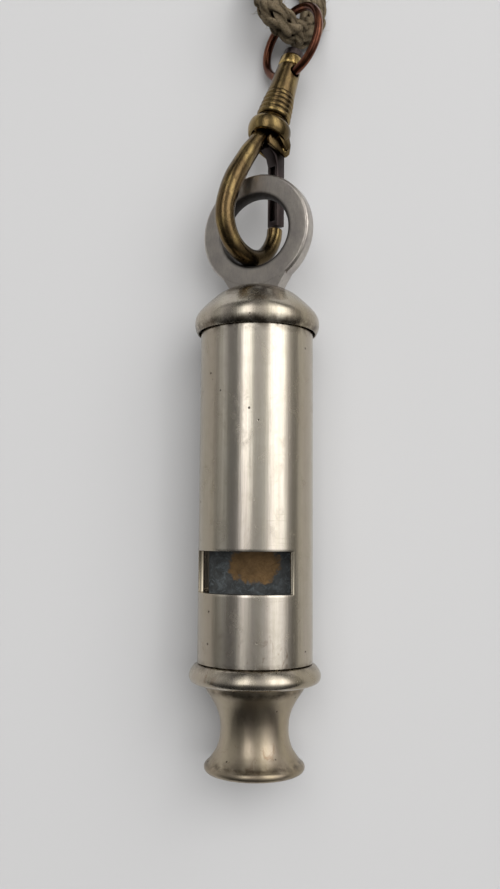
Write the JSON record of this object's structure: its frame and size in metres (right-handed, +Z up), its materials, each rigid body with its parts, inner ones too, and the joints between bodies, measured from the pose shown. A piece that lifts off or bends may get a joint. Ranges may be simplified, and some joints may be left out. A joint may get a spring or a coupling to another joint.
{
  "type": "training whistle",
  "caption": "Round pealess two-tone whistle with side windows and a hanging loop, on a brass swivel snap hook, copper ring and plaited lanyard.",
  "frame": {"origin": "on the table, under the middle of the whistle and hook's own box, without the lanyard", "axes": "+Y along the whistle from its mouthpiece towards the hanging loop and lanyard, +Z up from the table, +X to the right of the whistle"},
  "size_m": [0.033, 0.2713, 0.0188],
  "materials": {
    "nickel": "worn satin nickel plate with brassy wear",
    "loop_metal": "dull grey plated metal with scratches",
    "inner_brass": "tarnished brass with verdigris",
    "aged_brass": "old brown brass, rubbed bright on its edges",
    "bright_brass": "polished yellow brass",
    "dark_steel": "dark oxidised steel",
    "copper": "dark tarnished copper wire",
    "hemp": "plaited olive-grey hemp, slightly frayed"
  },
  "bodies": {
    "lanyard": {"lanyard_eye": "hemp", "lanyard_whipping": "hemp", "lanyard_lead_a": "hemp", "lanyard_lead_b": "hemp", "lanyard_hank": "hemp", "hank_tie": "hemp"},
    "ring": {"copper_ring": "copper"},
    "head": {"swivel_head": "aged_brass", "swivel_washer": "dark_steel", "head_collar": "bright_brass", "head_washer": "dark_steel"},
    "clip": {"hook_body": "aged_brass", "barrel_sleeve": "aged_brass", "gate_pin": "bright_brass", "gate_spring": "dark_steel"},
    "gate": {"gate": "dark_steel"},
    "whistle": {"barrel_tube": "nickel", "cap_dome": "nickel", "hanging_loop": "loop_metal", "mouthpiece": "nickel", "collar_ring": "nickel", "septum_plate": "inner_brass", "windway_block_front": "inner_brass", "windway_block_back": "inner_brass", "chamber_stop_front": "inner_brass", "chamber_stop_back": "inner_brass"}
  },
  "joints": [
    {"name": "ring_turn", "type": "hinge", "parent": "lanyard", "child": "ring", "pos_m": [0.00513, 0.05219, 0.00581], "axis": [0.743, -0.144, -0.6536], "range_deg": [-40, 40]},
    {"name": "ring_swing", "type": "hinge", "parent": "ring", "child": "head", "pos_m": [0.00435, 0.04658, 0.00616], "axis": [0.6549, -0.0447, 0.7544], "range_deg": [-45, 45]},
    {"name": "swivel_spin", "type": "hinge", "parent": "head", "child": "clip", "pos_m": [0.00162, 0.03681, 0.00795], "axis": [0.2648, 0.9485, -0.1736], "continuous": true},
    {"name": "gate_hinge", "type": "hinge", "parent": "clip", "child": "gate", "pos_m": [0.00266, 0.03368, 0.00686], "axis": [-0.6549, 0.0447, -0.7544], "range_deg": [0, 12], "stiffness_Nm_per_rad": 0.004, "springref_deg": -20.05},
    {"name": "loop_turn", "type": "hinge", "parent": "clip", "child": "whistle", "pos_m": [-0.00013, 0.01996, 0.0094], "axis": [-0.4384, 0, 0.8988], "range_deg": [-80, 80]}
  ]
}
